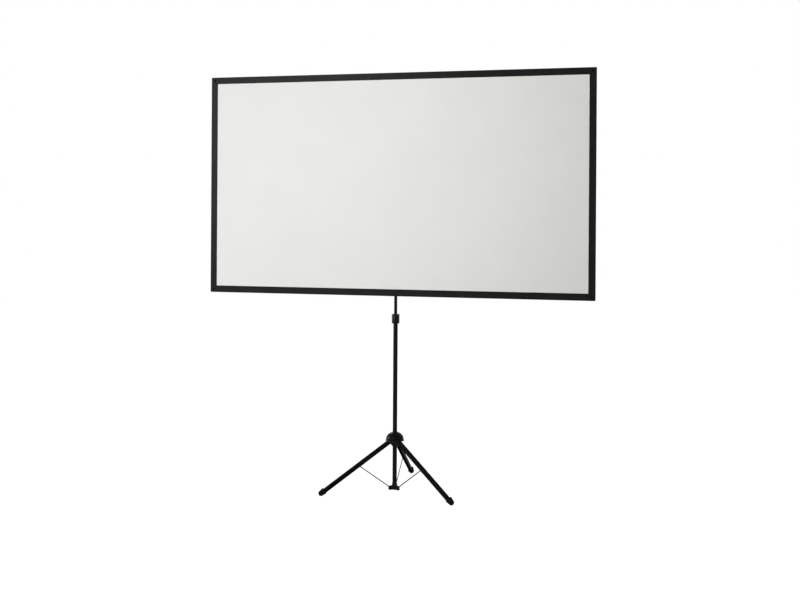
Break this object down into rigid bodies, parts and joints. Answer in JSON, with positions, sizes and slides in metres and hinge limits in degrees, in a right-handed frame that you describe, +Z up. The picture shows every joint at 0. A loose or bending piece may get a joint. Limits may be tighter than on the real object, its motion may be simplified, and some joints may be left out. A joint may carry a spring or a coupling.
{
  "type": "tripod projection screen",
  "caption": "Portable projection screen: white sheet with a black border held by a cross of telescopic arms on a telescopic mast with folding tripod legs.",
  "frame": {"origin": "on the floor, under the axis of the mast; the mast foot is 6 mm above it", "axes": "+X to the right of a person facing the sheet, -Y out of the sheet towards that person, +Z up along the mast"},
  "size_m": [1.77, 0.5297, 1.875],
  "materials": {
    "black_tube": "satin",
    "bare_tube": "satin",
    "black_plastic": "satin",
    "gloss_black_plastic": "gloss",
    "rubber": "matte",
    "steel": "satin",
    "wire_steel": "satin",
    "dark_rivet": "satin",
    "white_sheet": "matte",
    "black_border": "matte"
  },
  "bodies": {
    "mast": {"mast_tube": "black_tube", "mast_foot": "black_plastic", "clamp_collar": "black_plastic", "clamp_pin": "steel", "guide_bush": "black_plastic", "brace_pin_rear": "steel", "brace_pin_left": "steel", "brace_pin_right": "steel"},
    "crown": {"crown_body": "black_plastic", "crown_dome": "gloss_black_plastic", "leg_pin_rear": "steel", "leg_pin_left": "steel", "leg_pin_right": "steel"},
    "lever": {"clamp_lever": "gloss_black_plastic"},
    "upper_mast": {"upper_tube": "black_tube", "glide_plug": "black_plastic"},
    "hub": {"cross_hub": "black_plastic", "arm_pin_upper_right": "steel", "arm_pin_upper_left": "steel", "arm_pin_lower_left": "steel", "arm_pin_lower_right": "steel"},
    "knob": {"hub_knob": "black_plastic"},
    "screen": {"screen_sheet": "white_sheet", "screen_border": "black_border", "corner_shoe_upper_right": "black_plastic", "corner_shoe_upper_left": "black_plastic", "corner_shoe_lower_left": "black_plastic", "corner_shoe_lower_right": "black_plastic", "corner_rivet_upper_right": "dark_rivet", "corner_rivet_upper_left": "dark_rivet", "corner_rivet_lower_left": "dark_rivet", "corner_rivet_lower_right": "dark_rivet"},
    "leg_rear": {"leg_channel_rear": "black_tube", "leg_foot_rear": "rubber", "brace_rivet_rear": "steel"},
    "link_rear": {"brace_rear": "wire_steel"},
    "leg_left": {"leg_channel_left": "black_tube", "leg_foot_left": "rubber", "brace_rivet_left": "steel"},
    "link_left": {"brace_left": "wire_steel"},
    "leg_right": {"leg_channel_right": "black_tube", "leg_foot_right": "rubber", "brace_rivet_right": "steel"},
    "link_right": {"brace_right": "wire_steel"},
    "arm_upper_right": {"arm_fork_upper_right": "black_plastic", "arm_outer_upper_right": "black_tube"},
    "arm_end_upper_right": {"arm_inner_upper_right": "bare_tube", "arm_tip_upper_right": "black_plastic"},
    "arm_upper_left": {"arm_fork_upper_left": "black_plastic", "arm_outer_upper_left": "black_tube"},
    "arm_end_upper_left": {"arm_inner_upper_left": "bare_tube", "arm_tip_upper_left": "black_plastic"},
    "arm_lower_left": {"arm_fork_lower_left": "black_plastic", "arm_outer_lower_left": "black_tube"},
    "arm_end_lower_left": {"arm_inner_lower_left": "bare_tube", "arm_tip_lower_left": "black_plastic"},
    "arm_lower_right": {"arm_fork_lower_right": "black_plastic", "arm_outer_lower_right": "black_tube"},
    "arm_end_lower_right": {"arm_inner_lower_right": "bare_tube", "arm_tip_lower_right": "black_plastic"}
  },
  "joints": [
    {"name": "tripod_fold", "type": "hinge", "parent": "mast", "child": "link_rear", "pos_m": [0, 0.024, 0.01924], "axis": [1, 0, 0], "range_deg": [0, 52.4]},
    {"name": "leg_rear_fold", "type": "hinge", "parent": "link_rear", "child": "leg_rear", "pos_m": [0, 0.1638, 0.12132], "axis": [-1, 0, 0], "range_deg": [0, 105]},
    {"name": "crown_rise", "type": "hinge", "parent": "leg_rear", "child": "crown", "pos_m": [0, 0.024, 0.2234], "axis": [1, 0, 0], "range_deg": [0, 52.5]},
    {"name": "leg_left_fold", "type": "hinge", "parent": "crown", "child": "leg_left", "pos_m": [-0.02078, -0.012, 0.2234], "axis": [0.5, -0.866, 0], "range_deg": [0, 52.5]},
    {"name": "brace_left_fold", "type": "hinge", "parent": "mast", "child": "link_left", "pos_m": [-0.02078, -0.012, 0.01924], "axis": [-0.5, 0.866, 0], "range_deg": [0, 52.5]},
    {"name": "leg_right_fold", "type": "hinge", "parent": "crown", "child": "leg_right", "pos_m": [0.02078, -0.012, 0.2234], "axis": [0.5, 0.866, 0], "range_deg": [0, 52.5]},
    {"name": "brace_right_fold", "type": "hinge", "parent": "mast", "child": "link_right", "pos_m": [0.02078, -0.012, 0.01924], "axis": [-0.5, -0.866, 0], "range_deg": [0, 52.5]},
    {"name": "mast_slide", "type": "slide", "parent": "mast", "child": "upper_mast", "axis": [0, 0, 1], "range_m": [-0.5, 0.09]},
    {"name": "clamp_lever_open", "type": "hinge", "parent": "mast", "child": "lever", "pos_m": [0.0126, -0.0184, 0.773], "axis": [0, 0, 1], "range_deg": [0, 105]},
    {"name": "screen_turn", "type": "hinge", "parent": "upper_mast", "child": "hub", "pos_m": [0, 0, 1.375], "axis": [0, 0, 1], "continuous": true},
    {"name": "hub_knob_turn", "type": "hinge", "parent": "hub", "child": "knob", "pos_m": [0, 0.02, 1.375], "axis": [0, 1, 0], "continuous": true},
    {"name": "arm_upper_right_swing", "type": "hinge", "parent": "hub", "child": "arm_upper_right", "pos_m": [0.04018, -0.013, 1.39739], "axis": [0, -1, 0], "range_deg": [0, 60.37]},
    {"name": "arm_upper_right_slide", "type": "slide", "parent": "arm_upper_right", "child": "arm_end_upper_right", "axis": [0.8735, 0, 0.4868], "range_m": [-0.36, 0]},
    {"name": "arm_upper_left_swing", "type": "hinge", "parent": "hub", "child": "arm_upper_left", "pos_m": [-0.04018, -0.013, 1.39739], "axis": [0, 1, 0], "range_deg": [0, 60.37]},
    {"name": "arm_upper_left_slide", "type": "slide", "parent": "arm_upper_left", "child": "arm_end_upper_left", "axis": [-0.8735, 0, 0.4868], "range_m": [-0.36, 0]},
    {"name": "arm_lower_left_swing", "type": "hinge", "parent": "hub", "child": "arm_lower_left", "pos_m": [-0.04018, -0.013, 1.35261], "axis": [0, -1, 0], "range_deg": [0, 60.37]},
    {"name": "arm_lower_left_slide", "type": "slide", "parent": "arm_lower_left", "child": "arm_end_lower_left", "axis": [-0.8735, 0, -0.4868], "range_m": [-0.36, 0]},
    {"name": "arm_lower_right_swing", "type": "hinge", "parent": "hub", "child": "arm_lower_right", "pos_m": [0.04018, -0.013, 1.35261], "axis": [0, 1, 0], "range_deg": [0, 60.37]},
    {"name": "arm_lower_right_slide", "type": "slide", "parent": "arm_lower_right", "child": "arm_end_lower_right", "axis": [0.8735, 0, -0.4868], "range_m": [-0.36, 0]},
    {"name": "screen_lift_off", "type": "slide", "parent": "hub", "child": "screen", "axis": [0, -1, 0], "range_m": [0, 0.2]}
  ],
  "couplings": [
    {"joint": "leg_rear_fold", "follows": "tripod_fold", "ratio": 2},
    {"joint": "crown_rise", "follows": "tripod_fold", "ratio": 1},
    {"joint": "leg_left_fold", "follows": "tripod_fold", "ratio": 1},
    {"joint": "brace_left_fold", "follows": "tripod_fold", "ratio": 1},
    {"joint": "leg_right_fold", "follows": "tripod_fold", "ratio": 1},
    {"joint": "brace_right_fold", "follows": "tripod_fold", "ratio": 1}
  ]
}
